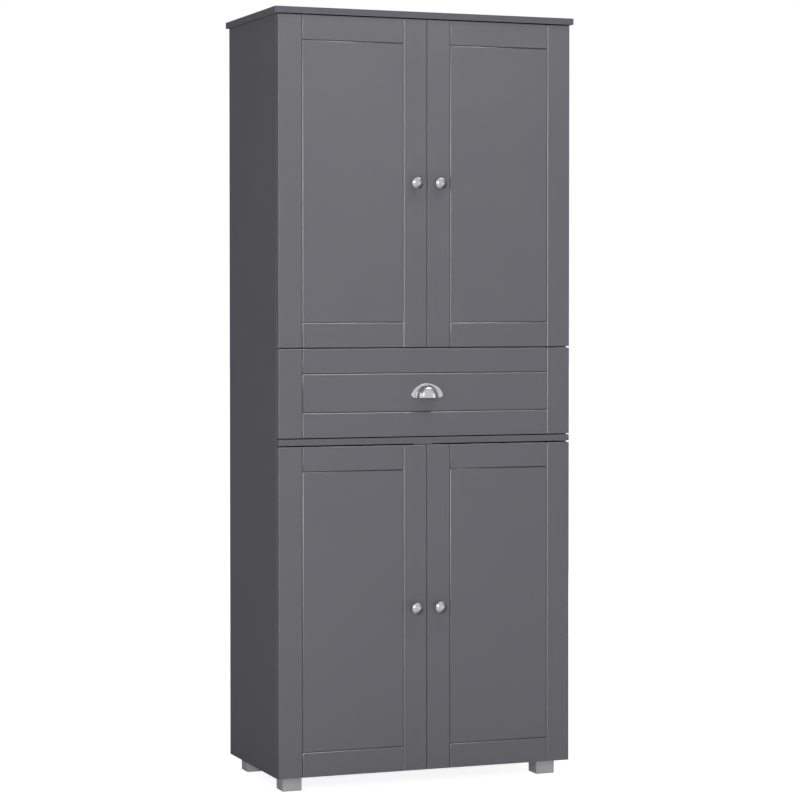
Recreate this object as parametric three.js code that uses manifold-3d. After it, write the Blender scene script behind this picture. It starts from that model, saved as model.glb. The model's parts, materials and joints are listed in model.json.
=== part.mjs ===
// Tall pantry cabinet: two upper doors, one full-width drawer, two lower doors, four block feet.
// Units are millimetres. +Z is up, the fronts face -Y, and the origin is on the floor in the middle
// of the whole cabinet's footprint, knobs included.

import * as THREE from 'three';
import { mergeVertices } from 'three/addons/utils/BufferGeometryUtils.js';
import Module from 'manifold-3d';

const wasm = await Module();
wasm.setup();

// ---- driving dimensions ----

const HEIGHT = 1840;
const TOP_WIDTH = 760;
const BODY_WIDTH = 742;
const BODY_DEPTH = 387; // from the faces of the doors to the back of the cabinet
const HANDLE_REACH = 25; // how far the knobs and the pull stand out in front of the doors
const BOARD = 15; // carcass board
const FRONT_BOARD = 16; // doors and drawer front
const BACK_BOARD = 3; // hardboard backs and drawer bottom
const DRAWER_BOARD = 12;
const FOOT_HEIGHT = 35;
const FRONT_GAP = 2; // between the back of a door and the front edge of the carcass
const TOP_NOSE = 4; // how far the top board stands out in front of the doors

const DOOR_HEIGHT = 776;
const DOOR_MEETING_GAP = 2;
const LOWER_DOOR_Z = 37.5;
const UPPER_DOOR_Z = 1046.5;
const DIVIDER_Z = 817;
const DRAWER_FRONT_Z = 834.5;
const DRAWER_FRONT_HEIGHT = 208.5;
const DRAWER_DECK_Z = 1037;
const LOWER_SHELF_Z = 425;
const UPPER_SHELF_Z = 1430;

// ---- places that follow from them ----

const FACE_Y = HANDLE_REACH / 2 - BODY_DEPTH / 2; // faces of the doors
const FRONT_Y = FACE_Y + FRONT_BOARD + FRONT_GAP; // front edges of the carcass
const BACK_Y = FACE_Y + BODY_DEPTH;
const INNER_BACK_Y = BACK_Y - BACK_BOARD;
const OUTER_X = BODY_WIDTH / 2;
const INNER_X = OUTER_X - BOARD;
const TOP_Z = HEIGHT - BOARD;
const DOOR_WIDTH = (BODY_WIDTH - DOOR_MEETING_GAP) / 2;
const SIDES = { left: -1, right: 1 };
const OVERCUT = 2; // how far a cutting tool runs past the face it cuts
const FIT = 0.3; // gap round a piece let into another

// ---- finishes ----

const finish = (color, roughness, metalness) =>
  new THREE.MeshStandardMaterial({ color, roughness, metalness });
const PAINT = 0x6f6e73;
const STEEL = 0xb4b5b7;
const finishes = {
  painted: () => finish(PAINT, 0.5, 0),
  hardboard: () => finish(0x77757a, 0.75, 0),
  nickel: () => finish(0xa7a6a8, 0.3, 1),
  foot: () => finish(0x9c9ca2, 0.45, 0.2),
  steel: () => finish(STEEL, 0.35, 1),
  plastic: () => finish(0xd8d8d6, 0.5, 0),
};

// ---- shape helpers ----

/** A named mesh at a place, with a finish of its own. */
function piece(name, finishName, geometry, [x, y, z] = [0, 0, 0]) {
  const mesh = new THREE.Mesh(geometry, finishes[finishName]());
  mesh.name = name;
  mesh.position.set(x, y, z);
  return mesh;
}

/** A box between two corners, given as its ranges along x, y and z in either order. */
function block([xa, xb], [ya, yb], [za, zb]) {
  const size = [Math.abs(xb - xa), Math.abs(yb - ya), Math.abs(zb - za)];
  const box = new THREE.BoxGeometry(...size);
  return box.translate((xa + xb) / 2, (ya + yb) / 2, (za + zb) / 2);
}

function outline(points) {
  return new THREE.Shape(points.map(([a, b]) => new THREE.Vector2(a, b)));
}

/** An outline in plan, [x, y], drawn up from z = low to z = high. */
function upright(points, low, high) {
  const shape = outline(points);
  const drawn = new THREE.ExtrudeGeometry(shape, { depth: high - low, bevelEnabled: false });
  return drawn.translate(0, 0, low);
}

/** An outline seen from the front, [x, z], drawn backwards from y = front to y = back. */
function fromFront(shape, front, back, curveSegments = 12) {
  const settings = { depth: back - front, bevelEnabled: false, curveSegments };
  return new THREE.ExtrudeGeometry(shape, settings).rotateX(Math.PI / 2).translate(0, back, 0);
}

/** An outline seen from the right side, [y, z], drawn from x = low to x = high. */
function acrossX(points, low, high) {
  const shape = outline(points);
  const drawn = new THREE.ExtrudeGeometry(shape, { depth: high - low, bevelEnabled: false });
  return drawn.rotateY(Math.PI / 2).rotateX(Math.PI / 2).translate(low, 0, 0);
}

/** The solid that a closed geometry bounds. */
function solid(geometry) {
  const bare = geometry.clone();
  bare.deleteAttribute('normal');
  bare.deleteAttribute('uv');
  const merged = mergeVertices(bare);
  return new wasm.Manifold(
    new wasm.Mesh({
      numProp: 3,
      vertProperties: Float32Array.from(merged.attributes.position.array),
      triVerts: Uint32Array.from(merged.index.array),
    }),
  );
}

/** The geometry of a solid. */
function geometryOf(body) {
  const mesh = body.getMesh();
  const geometry = new THREE.BufferGeometry();
  geometry.setAttribute('position', new THREE.BufferAttribute(mesh.vertProperties, 3));
  geometry.setIndex(new THREE.BufferAttribute(mesh.triVerts, 1));
  geometry.computeVertexNormals();
  return geometry;
}

const cut = (stock, tools) =>
  geometryOf(tools.reduce((body, tool) => body.subtract(solid(tool)), solid(stock)));
const join = (first, ...others) =>
  geometryOf(others.reduce((body, other) => body.add(solid(other)), solid(first)));

// ---- carcass ----

const PIN_HOLE = { radius: 2.65, depth: 9, facets: 8 };
const PIN_INSET = 45; // from the front and back edges of a side panel to its pin holes
const PIN_COLUMNS = [FRONT_Y + PIN_INSET, INNER_BACK_Y - PIN_INSET];
const PIN_ROW_STEP = 64; // between the rows of holes for the shelf pins
const PIN_ROWS = [-1, 0, 1];
const PIN_DROP = 8; // from the underside of a shelf down to the middle of its pins
const REBATE = 7; // width of the step in a side panel that takes the back

/** The rows of pin holes in a side panel: two columns, three heights round each shelf. */
function pinHoles(side) {
  const { radius, depth, facets } = PIN_HOLE;
  const length = depth + OVERCUT;
  const middleX = side * (INNER_X - OVERCUT + length / 2);
  const holes = [];
  for (const shelfZ of [LOWER_SHELF_Z, UPPER_SHELF_Z]) {
    for (const row of PIN_ROWS) {
      for (const y of PIN_COLUMNS) {
        const drill = new THREE.CylinderGeometry(radius, radius, length, facets);
        const z = shelfZ - PIN_DROP + row * PIN_ROW_STEP;
        holes.push(drill.rotateZ(Math.PI / 2).translate(middleX, y, z));
      }
    }
  }
  return holes;
}

/** A side panel, with a step at its back edge for the hardboard back. */
function sidePanel(side) {
  const plan = [
    [side * INNER_X, FRONT_Y],
    [side * OUTER_X, FRONT_Y],
    [side * OUTER_X, BACK_Y],
    [side * (OUTER_X - REBATE), BACK_Y],
    [side * (OUTER_X - REBATE), INNER_BACK_Y],
    [side * INNER_X, INNER_BACK_Y],
  ];
  return cut(upright(plan, FOOT_HEIGHT, TOP_Z), pinHoles(side));
}

/** The board between the drawer and the lower doors: its nose runs past both side panels. */
function dividerShelf() {
  const plan = [
    [-OUTER_X, FACE_Y],
    [OUTER_X, FACE_Y],
    [OUTER_X, FRONT_Y],
    [INNER_X, FRONT_Y],
    [INNER_X, INNER_BACK_Y],
    [-INNER_X, INNER_BACK_Y],
    [-INNER_X, FRONT_Y],
    [-OUTER_X, FRONT_Y],
  ];
  return upright(plan, DIVIDER_Z, DIVIDER_Z + BOARD);
}

/** A board between the two side panels. */
const innerBoard = (z) => block([-INNER_X, INNER_X], [FRONT_Y, INNER_BACK_Y], [z, z + BOARD]);

const SHELF_SIDE_GAP = 1;
const SHELF_SETBACK = 15;
const SHELF_BACK_GAP = 3;

/** A loose shelf, lying on its four pins. */
function looseShelf(z) {
  const x = INNER_X - SHELF_SIDE_GAP;
  return block([-x, x], [FRONT_Y + SHELF_SETBACK, INNER_BACK_Y - SHELF_BACK_GAP], [z, z + BOARD]);
}

const PIN = { peg: 2.35, pegLength: 8, plateWidth: 12, plateHeight: 14, plate: 2, ledge: 10 };

/** A shelf pin: a peg in the side panel, a small plate against it and a ledge under the shelf. */
function shelfPin(side) {
  const { peg, pegLength, plateWidth, plateHeight, plate, ledge } = PIN;
  const half = plateWidth / 2;
  const shank = new THREE.CylinderGeometry(peg, peg, pegLength + plate / 2, PIN_HOLE.facets);
  shank.rotateZ(Math.PI / 2).translate((side * (pegLength - plate / 2)) / 2, 0, 0);
  const upstand = block([0, -side * plate], [-half, half], [PIN_DROP - plateHeight, PIN_DROP]);
  const shelfLedge = block([0, -side * ledge], [-half, half], [PIN_DROP - plate, PIN_DROP]);
  return join(upstand, shelfLedge, shank);
}

const FOOT = { width: 48, corner: 3, inset: 21, frontSetback: 38, backSetback: 25 };

/** A square block foot with slightly rounded upright corners. */
function foot() {
  const { width, corner } = FOOT;
  const half = width / 2;
  const shape = new THREE.Shape();
  shape.moveTo(-half + corner, -half);
  shape.absarc(half - corner, -half + corner, corner, -Math.PI / 2, 0);
  shape.absarc(half - corner, half - corner, corner, 0, Math.PI / 2);
  shape.absarc(-half + corner, half - corner, corner, Math.PI / 2, Math.PI);
  shape.absarc(-half + corner, -half + corner, corner, Math.PI, Math.PI * 1.5);
  const settings = { depth: FOOT_HEIGHT, bevelEnabled: false, curveSegments: 3 };
  return new THREE.ExtrudeGeometry(shape, settings);
}

const BRACKET = { leg: 40, steel: 2, width: 30 };

/** The angle that ties the top of the cabinet to the wall, inside the upper compartment. */
function wallBracket() {
  const { leg, steel, width } = BRACKET;
  const section = [
    [INNER_BACK_Y, TOP_Z],
    [INNER_BACK_Y, TOP_Z - leg],
    [INNER_BACK_Y - steel, TOP_Z - leg],
    [INNER_BACK_Y - steel, TOP_Z - steel],
    [INNER_BACK_Y - leg, TOP_Z - steel],
    [INNER_BACK_Y - leg, TOP_Z],
  ];
  return acrossX(section, -width / 2, width / 2);
}

const CATCH = { width: 46, depth: 15, height: 12, setback: 1 };

/** A double magnetic catch, hung from the board over a pair of doors. */
function doorCatch() {
  const { width, depth, height, setback } = CATCH;
  const front = FRONT_Y + setback;
  return block([-width / 2, width / 2], [front, front + depth], [-height, 0]);
}

// ---- drawer runners ----

const RUNNER_SPACE = 12.5; // between the drawer side and the cabinet side
const RUNNER = { length: 350, z: 900, steel: 1.5 };
const OUTER_RUNNER = { half: 22.5, reach: 9.5, lip: 6.5 };
const INNER_RUNNER = { half: 14, reach: 9 };
const RUNNER_FRONT = FRONT_Y + 3;
const DRAWER_X = INNER_X - RUNNER_SPACE;

/** A channel section [x, z], open towards the middle of the cabinet or away from it. */
function channel(webX, tipX, half, steel, lip) {
  const toTip = Math.sign(tipX - webX);
  const inner = webX + toTip * steel;
  const lipX = tipX - toTip * steel;
  const upper = [
    [webX, half],
    [tipX, half],
    [tipX, half - lip],
    [lipX, half - lip],
    [lipX, half - steel],
    [inner, half - steel],
  ];
  const plain = [[webX, half], [tipX, half], [tipX, half - steel], [inner, half - steel]];
  const top = lip > steel ? upper : plain;
  const bottom = top.map(([x, z]) => [x, -z]).reverse();
  return outline([...top, ...bottom]);
}

/** The runner on the cabinet side: a channel with turned-in lips. */
function cabinetRunner(side) {
  const { length, steel } = RUNNER;
  const { half, reach, lip } = OUTER_RUNNER;
  const section = channel(side * INNER_X, side * (INNER_X - reach), half, steel, lip);
  return fromFront(section, RUNNER_FRONT, RUNNER_FRONT + length);
}

/** The runner on the drawer side, which slides inside the other. */
function drawerRunner(side) {
  const { length, steel } = RUNNER;
  const { half, reach } = INNER_RUNNER;
  const section = channel(side * DRAWER_X, side * (DRAWER_X + reach), half, steel, steel);
  return fromFront(section, RUNNER_FRONT, RUNNER_FRONT + length);
}

// ---- grooved fronts ----

const GROOVE = { width: 4, depth: 2, inset: 58.5 };

/** The cutters for the grooves that mark a frame and a panel on a front [0..width, 0..height]. */
function grooves(width, height, faceY) {
  const { width: across, depth, inset } = GROOVE;
  const spread = across / 2 / depth; // half width of the groove for each millimetre of its depth
  const lead = OVERCUT;
  const mouth = across / 2 + spread * lead;
  const tools = [];
  for (const x of [inset, width - inset]) {
    const plan = [[x - mouth, faceY - lead], [x + mouth, faceY - lead], [x, faceY + depth]];
    tools.push(upright(plan, -OVERCUT, height + OVERCUT));
  }
  for (const z of [inset, height - inset]) {
    const section = [[faceY - lead, z - mouth], [faceY - lead, z + mouth], [faceY + depth, z]];
    tools.push(acrossX(section, inset, width - inset));
  }
  return tools;
}

// ---- doors ----

const PIVOT = { fromEdge: 5, fromFace: 5 }; // the concealed hinges' axis, inside the door
const HINGE_INSET = 100; // from each end of a door to the middle of its hinge
const CUP = { centre: 16.5, bore: 17.5, boreDepth: 11.5, wall: 1.7, floor: 1.5, facets: 24 };
const CUP_FLANGE = { thickness: 1.5, ring: 19, plateHalf: 28, plateFrom: 4, plateTo: 14 };
const DOOR_BACK = FRONT_BOARD - PIVOT.fromFace; // the back of a door, behind the hinge axis
const HINGE_HEIGHTS = { lower: HINGE_INSET, upper: DOOR_HEIGHT - HINGE_INSET };
const KNOB_INSET = 29; // from the meeting edge of a door to the middle of its knob

/** A door, in a frame whose z axis is its hinge axis and whose z = 0 is its bottom edge. */
function doorPanel(side) {
  const left = side > 0 ? PIVOT.fromEdge - DOOR_WIDTH : -PIVOT.fromEdge;
  const face = -PIVOT.fromFace;
  const slab = block([left, left + DOOR_WIDTH], [face, DOOR_BACK], [0, DOOR_HEIGHT]);
  const faceGrooves = grooves(DOOR_WIDTH, DOOR_HEIGHT, face).map((g) => g.translate(left, 0, 0));
  const bores = Object.values(HINGE_HEIGHTS).map((z) => {
    const length = CUP.boreDepth + OVERCUT;
    const drill = new THREE.CylinderGeometry(CUP.bore, CUP.bore, length, CUP.facets);
    return drill.translate(-side * CUP.centre, DOOR_BACK + OVERCUT - length / 2, z);
  });
  return cut(slab, [...faceGrooves, ...bores]);
}

/** The cup of a concealed hinge with its screw flange, pressed into the back of a door. */
function hingeCup(side) {
  const { bore, boreDepth, wall, floor, facets } = CUP;
  const { thickness, ring, plateHalf, plateFrom, plateTo } = CUP_FLANGE;
  const bottom = DOOR_BACK - boreDepth + FIT;
  const top = DOOR_BACK + thickness;
  const outside = bore - FIT;
  const profile = [
    [0, bottom],
    [outside, bottom],
    [outside, DOOR_BACK],
    [ring, DOOR_BACK],
    [ring, top],
    [0, top],
  ].map(([r, y]) => new THREE.Vector2(r, y));
  const stock = new THREE.LatheGeometry(profile, facets, Math.PI / facets);
  const plate = block(
    [side * plateFrom, -side * plateTo],
    [DOOR_BACK, top],
    [-plateHalf, plateHalf],
  );
  const hollow = top - bottom - floor + OVERCUT;
  const drill = new THREE.CylinderGeometry(bore - wall, bore - wall, hollow, facets);
  drill.translate(0, bottom + floor + hollow / 2, 0);
  return geometryOf(solid(stock).add(solid(plate)).subtract(solid(drill)));
}

const ARM = { inner: 4, outer: 11, tip: 4.5, length: 68, half: 7 };
const ARM_PLATE = { from: 40, to: 75, half: 22.5, thickness: 4.5 };

/** A hinge arm with its base plate on the side panel; its tip reaches into the cup. */
function hingeArm(side) {
  const wallX = side * INNER_X;
  const tipY = FACE_Y + PIVOT.fromFace + ARM.tip;
  const bar = block(
    [wallX - side * ARM.inner, wallX - side * ARM.outer],
    [tipY, tipY + ARM.length],
    [-ARM.half, ARM.half],
  );
  const plate = block(
    [wallX, wallX - side * ARM_PLATE.thickness],
    [FACE_Y + ARM_PLATE.from, FACE_Y + ARM_PLATE.to],
    [-ARM_PLATE.half, ARM_PLATE.half],
  );
  return join(plate, bar);
}

const KNOB = { foot: 8, footHeight: 2, neck: 5.5, head: 14.2, headFrom: 12, rim: 17, facets: 20 };

/** A round knob on a waisted neck, standing out of a front along -y. */
function knob() {
  const { foot: base, footHeight, neck, head, headFrom, rim, facets } = KNOB;
  const profile = new THREE.Path();
  profile.moveTo(0, 0);
  profile.lineTo(base, 0);
  profile.lineTo(base, footHeight);
  profile.quadraticCurveTo(neck, footHeight + 1, neck, headFrom - 3);
  profile.quadraticCurveTo(neck + 1, headFrom, head - 1.5, headFrom + 1);
  profile.quadraticCurveTo(head + 0.6, (headFrom + rim) / 2 + 1, head - 0.5, rim + 1);
  profile.quadraticCurveTo(head - 3, HANDLE_REACH, 0, HANDLE_REACH);
  const turned = new THREE.LatheGeometry(profile.getPoints(4), facets);
  return turned.rotateX(Math.PI);
}

const PULL = {
  flangeHalf: 41,
  flangeHeight: 34,
  flange: 2,
  domeHalf: 31,
  domeHeight: 30,
  wall: 2,
  facets: 28,
  z: 926,
};

/** The half of an ellipse that lies above its long axis. */
function halfEllipse(a, b) {
  const shape = new THREE.Shape();
  shape.moveTo(a, 0);
  shape.absellipse(0, 0, a, b, 0, Math.PI);
  shape.closePath();
  return shape;
}

/** A ball stretched to three half axes. */
const ellipsoid = (a, b, c) =>
  new THREE.SphereGeometry(1, PULL.facets, PULL.facets / 2).scale(a, b, c);

/** The half-moon cup pull: a hollow quarter dome with a flat rim, open below. */
function cupPull() {
  const { flangeHalf, flangeHeight, flange, domeHalf, domeHeight, wall } = PULL;
  const rim = solid(fromFront(halfEllipse(flangeHalf, flangeHeight), -flange, 0, PULL.facets / 2));
  const outer = solid(ellipsoid(domeHalf, HANDLE_REACH, domeHeight));
  const inner = solid(ellipsoid(domeHalf - wall, HANDLE_REACH - wall, domeHeight - wall));
  const reach = PULL.flangeHalf;
  const front = solid(block([-reach, reach], [-reach, 0], [0, reach]));
  return geometryOf(outer.intersect(front).add(rim).subtract(inner));
}

// ---- drawer ----

const DRAWER = { z: 848, height: 140, length: 350, bottomZ: 858, groove: 6 };
const DRAWER_FRONT_BACK = FACE_Y + FRONT_BOARD;
const DRAWER_END = DRAWER_FRONT_BACK + DRAWER.length;
const DRAWER_INNER_X = DRAWER_X - DRAWER_BOARD;

function drawerFront() {
  const slab = block(
    [0, BODY_WIDTH],
    [FACE_Y, DRAWER_FRONT_BACK],
    [0, DRAWER_FRONT_HEIGHT],
  );
  return cut(slab, grooves(BODY_WIDTH, DRAWER_FRONT_HEIGHT, FACE_Y));
}

/** A drawer side, with the groove that holds the bottom. */
function drawerSide(side) {
  const top = DRAWER.z + DRAWER.height;
  const grooveTop = DRAWER.bottomZ + BACK_BOARD + FIT;
  const grooveEnd = side * (DRAWER_INNER_X + DRAWER.groove);
  const section = outline([
    [side * DRAWER_INNER_X, DRAWER.z],
    [side * DRAWER_X, DRAWER.z],
    [side * DRAWER_X, top],
    [side * DRAWER_INNER_X, top],
    [side * DRAWER_INNER_X, grooveTop],
    [grooveEnd, grooveTop],
    [grooveEnd, DRAWER.bottomZ - FIT],
    [side * DRAWER_INNER_X, DRAWER.bottomZ - FIT],
  ]);
  return fromFront(section, DRAWER_FRONT_BACK, DRAWER_END);
}

function drawerBack() {
  const low = DRAWER.bottomZ + BACK_BOARD + FIT;
  return block(
    [-DRAWER_INNER_X, DRAWER_INNER_X],
    [DRAWER_END - DRAWER_BOARD, DRAWER_END],
    [low, DRAWER.z + DRAWER.height],
  );
}

function drawerBottom() {
  const x = DRAWER_INNER_X + DRAWER.groove - FIT;
  return block([-x, x], [DRAWER_FRONT_BACK, DRAWER_END], [DRAWER.bottomZ, DRAWER.bottomZ + BACK_BOARD]);
}

// ---- assemblies ----

/** The fixed cabinet. */
function carcass() {
  const group = new THREE.Group();
  const halfTop = TOP_WIDTH / 2;
  const backX = OUTER_X - REBATE - FIT;
  const backJoint = DRAWER_DECK_Z + BOARD / 2;
  const topBoard = block([-halfTop, halfTop], [FACE_Y - TOP_NOSE, BACK_Y], [TOP_Z, HEIGHT]);
  const backPanel = (low, high) => block([-backX, backX], [INNER_BACK_Y, BACK_Y], [low, high]);

  group.add(
    piece('top_board', 'painted', topBoard),
    piece('bottom_board', 'painted', innerBoard(FOOT_HEIGHT)),
    piece('divider_shelf', 'painted', dividerShelf()),
    piece('drawer_deck', 'painted', innerBoard(DRAWER_DECK_Z)),
    piece('upper_back_panel', 'hardboard', backPanel(backJoint + FIT, TOP_Z)),
    piece('lower_back_panel', 'hardboard', backPanel(FOOT_HEIGHT, backJoint - FIT)),
    piece('upper_shelf', 'painted', looseShelf(UPPER_SHELF_Z)),
    piece('lower_shelf', 'painted', looseShelf(LOWER_SHELF_Z)),
    piece('wall_bracket', 'steel', wallBracket()),
    piece('upper_door_catch', 'plastic', doorCatch(), [0, 0, TOP_Z]),
    piece('lower_door_catch', 'plastic', doorCatch(), [0, 0, DIVIDER_Z]),
  );

  const footX = OUTER_X - FOOT.inset - FOOT.width / 2;
  const footY = {
    front: FACE_Y + FOOT.frontSetback + FOOT.width / 2,
    back: BACK_Y - FOOT.backSetback - FOOT.width / 2,
  };
  const shelves = { upper: UPPER_SHELF_Z, lower: LOWER_SHELF_Z };
  const pinY = { front: PIN_COLUMNS[0], back: PIN_COLUMNS[1] };
  const doorBottoms = { upper: UPPER_DOOR_Z, lower: LOWER_DOOR_Z };

  for (const [sideName, side] of Object.entries(SIDES)) {
    group.add(piece(`side_panel_${sideName}`, 'painted', sidePanel(side)));
    group.add(piece(`cabinet_runner_${sideName}`, 'steel', cabinetRunner(side), [0, 0, RUNNER.z]));
    for (const [end, y] of Object.entries(footY)) {
      group.add(piece(`foot_${end}_${sideName}`, 'foot', foot(), [side * footX, y, 0]));
    }
    for (const [level, shelfZ] of Object.entries(shelves)) {
      for (const [end, y] of Object.entries(pinY)) {
        const name = `shelf_pin_${level}_${end}_${sideName}`;
        const place = [side * INNER_X, y, shelfZ - PIN_DROP];
        group.add(piece(name, 'plastic', shelfPin(side), place));
      }
    }
    for (const [level, doorZ] of Object.entries(doorBottoms)) {
      for (const [end, z] of Object.entries(HINGE_HEIGHTS)) {
        const name = `hinge_arm_${level}_${sideName}_${end}`;
        group.add(piece(name, 'steel', hingeArm(side), [0, 0, doorZ + z]));
      }
    }
  }
  return group;
}

/** One door with its knob and hinge cups, placed on its hinge axis. */
function door(level, sideName, bottom) {
  const side = SIDES[sideName];
  const group = new THREE.Group();
  const label = `${level}_${sideName}`;
  const knobX = side * (KNOB_INSET + PIVOT.fromEdge - DOOR_WIDTH);
  group.position.set(side * (OUTER_X - PIVOT.fromEdge), FACE_Y + PIVOT.fromFace, bottom);
  group.add(piece(`door_${label}`, 'painted', doorPanel(side)));
  group.add(piece(`knob_${label}`, 'nickel', knob(), [knobX, -PIVOT.fromFace, DOOR_HEIGHT / 2]));
  for (const [end, z] of Object.entries(HINGE_HEIGHTS)) {
    const place = [-side * CUP.centre, 0, z];
    group.add(piece(`hinge_cup_${label}_${end}`, 'steel', hingeCup(side), place));
  }
  return group;
}

/** The drawer: a grooved front, a box behind it, its pull and its halves of the runners. */
function drawer() {
  const group = new THREE.Group();
  group.add(
    piece('drawer_front', 'painted', drawerFront(), [-OUTER_X, 0, DRAWER_FRONT_Z]),
    piece('drawer_back', 'painted', drawerBack()),
    piece('drawer_bottom', 'hardboard', drawerBottom()),
    piece('cup_pull', 'nickel', cupPull(), [0, FACE_Y, PULL.z]),
  );
  for (const [sideName, side] of Object.entries(SIDES)) {
    group.add(piece(`drawer_side_${sideName}`, 'painted', drawerSide(side)));
    group.add(piece(`drawer_runner_${sideName}`, 'steel', drawerRunner(side), [0, 0, RUNNER.z]));
  }
  return group;
}

const cabinet = new THREE.Group();
cabinet.add(
  carcass(),
  door('upper', 'left', UPPER_DOOR_Z),
  door('upper', 'right', UPPER_DOOR_Z),
  door('lower', 'left', LOWER_DOOR_Z),
  door('lower', 'right', LOWER_DOOR_Z),
  drawer(),
);

export default cabinet;
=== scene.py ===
"""A tall grey pantry cabinet: two upper doors, a drawer, two lower doors, on square silver feet.

Everything is in metres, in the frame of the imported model: +X right, fronts facing -Y, +Z up.
"""

import json
import math

import bmesh
import bpy
from mathutils import Matrix, Vector


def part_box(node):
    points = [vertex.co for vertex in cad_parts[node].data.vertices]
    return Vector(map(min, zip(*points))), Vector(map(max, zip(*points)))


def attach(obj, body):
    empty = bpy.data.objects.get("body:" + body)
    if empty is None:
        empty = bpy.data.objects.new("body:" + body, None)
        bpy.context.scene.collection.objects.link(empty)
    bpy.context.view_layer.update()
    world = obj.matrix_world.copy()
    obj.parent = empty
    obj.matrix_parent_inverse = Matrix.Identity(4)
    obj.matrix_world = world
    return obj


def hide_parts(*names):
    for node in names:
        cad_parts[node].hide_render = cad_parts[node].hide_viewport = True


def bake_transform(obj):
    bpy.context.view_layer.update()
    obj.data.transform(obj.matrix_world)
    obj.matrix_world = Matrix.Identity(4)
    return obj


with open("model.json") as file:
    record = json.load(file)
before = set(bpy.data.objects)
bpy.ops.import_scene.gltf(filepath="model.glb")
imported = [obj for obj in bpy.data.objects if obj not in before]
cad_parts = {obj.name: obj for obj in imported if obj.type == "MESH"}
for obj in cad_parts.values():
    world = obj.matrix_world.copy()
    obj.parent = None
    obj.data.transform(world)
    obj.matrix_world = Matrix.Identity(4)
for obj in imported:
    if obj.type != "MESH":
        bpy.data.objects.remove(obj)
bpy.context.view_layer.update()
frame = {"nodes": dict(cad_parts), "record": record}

MM = 0.001
NODES = frame["nodes"]
BODIES = frame["record"]["behaviour"]["bodies"]
BODY_OF = {node: body for body, nodes in BODIES.items() for node in nodes}
SLOT_OF = {row["node"]: row["material_slot"] for row in frame["record"]["subparts"]}
LEVELS = ("upper", "lower")
SIDES = {"left": -1, "right": 1}
ENDS = ("lower", "upper")
OUT, IN, UP, DOWN = (0, -1, 0), (0, 1, 0), (0, 0, 1), (0, 0, -1)


# ---- shader kit ------------------------------------------------------


def feed(tree, value, socket):
    """Links a value to a socket, or sets the socket where the value is a constant."""
    if isinstance(value, Signal):
        value = value.socket
    if isinstance(value, bpy.types.NodeSocket):
        tree.links.new(value, socket)
    else:
        socket.default_value = value


def add_node(tree, kind, settings=None, links=None):
    """A node with its settings made first, then the values or links of its inputs."""
    node = tree.nodes.new(kind)
    for key, value in (settings or {}).items():
        setattr(node, key, value)
    for key, value in (links or {}).items():
        feed(tree, value, node.inputs[key])
    return node


class Signal:
    """A number that changes over a surface; arithmetic on it adds Math nodes."""

    def __init__(self, tree, socket):
        self.tree = tree
        self.socket = socket

    def _math(self, operation, first, second):
        links = {0: first, 1: second}
        node = add_node(self.tree, "ShaderNodeMath", {"operation": operation}, links)
        return Signal(self.tree, node.outputs[0])

    def __add__(self, other):
        return self._math("ADD", self, other)

    def __radd__(self, other):
        return self._math("ADD", other, self)

    def __sub__(self, other):
        return self._math("SUBTRACT", self, other)

    def __rsub__(self, other):
        return self._math("SUBTRACT", other, self)

    def __mul__(self, other):
        return self._math("MULTIPLY", self, other)

    def __rmul__(self, other):
        return self._math("MULTIPLY", other, self)


class Finish:
    """A material in the making, with one Principled shader."""

    def __init__(self, name, roughness=0.5, metallic=0.0, **constants):
        self.material = bpy.data.materials.new(name)
        self.material.use_nodes = True
        self.tree = self.material.node_tree
        self.shader = self.tree.nodes["Principled BSDF"]
        self.set("Roughness", roughness)
        self.set("Metallic", metallic)
        for label, value in constants.items():
            self.set(label.replace("_", " "), value)

    def node(self, kind, settings=None, links=None, output=0):
        """Any node; returns one of its outputs."""
        return add_node(self.tree, kind, settings, links).outputs[output]

    def number(self, kind, settings=None, links=None, output=0):
        """Any node whose output is used as a number in an expression."""
        return Signal(self.tree, self.node(kind, settings, links, output))

    def set(self, label, value):
        """Sets or links one socket of the Principled shader."""
        feed(self.tree, value, self.shader.inputs[label])

    def place(self, centre=(0, 0, 0), scale=(1, 1, 1)):
        """Object coordinates, counted from a centre and stretched."""
        links = {0: self.node("ShaderNodeTexCoord", output="Object"), 1: centre}
        moved = self.node("ShaderNodeVectorMath", {"operation": "SUBTRACT"}, links)
        links = {0: moved, 1: scale}
        return self.node("ShaderNodeVectorMath", {"operation": "MULTIPLY"}, links)

    def noise(self, vector, scale, detail=2.0, roughness=0.5):
        """Soft noise between 0 and 1; a larger scale is a finer one."""
        links = {"Vector": vector, "Scale": scale, "Detail": detail, "Roughness": roughness}
        return self.number("ShaderNodeTexNoise", links=links)

    def blend(self, share, first, second):
        """Two colours, or sockets that carry colours, mixed by a share."""
        is_link = bpy.types.NodeSocket
        first, second = (c if isinstance(c, is_link) else (*c, 1) for c in (first, second))
        links = {0: share, 6: first, 7: second}
        return self.node("ShaderNodeMix", {"data_type": "RGBA"}, links, 2)

    def tint(self, share, first, second):
        """Sets the base colour to a mix of two colours."""
        self.set("Base Color", self.blend(share, first, second))

    def bump(self, height, distance, strength):
        """Raises the surface by a height between 0 and 1, times a distance in metres."""
        links = {"Height": height, "Distance": distance, "Strength": strength}
        self.set("Normal", self.node("ShaderNodeBump", links=links))
        return self.material


# ---- finishes --------------------------------------------------------

PAINT = (0.128, 0.1255, 0.139)
PAINT_DARK = (0.121, 0.1185, 0.132)
# lighter on rounded edges and groove shoulders: partly wear, partly a painted highlight
PAINT_EDGE_WEAR_AND_HIGHLIGHT = (0.165, 0.162, 0.177)
# darker groove walls: painted shade in the grooves
PAINTED_GROOVE_SHADE = (0.062, 0.061, 0.067)


def share_of(finish, label):
    """1 where a board is marked with an attribute, "edge" or "groove", and 0 elsewhere."""
    return finish.number("ShaderNodeAttribute", {"attribute_name": label}, output="Fac")


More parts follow.
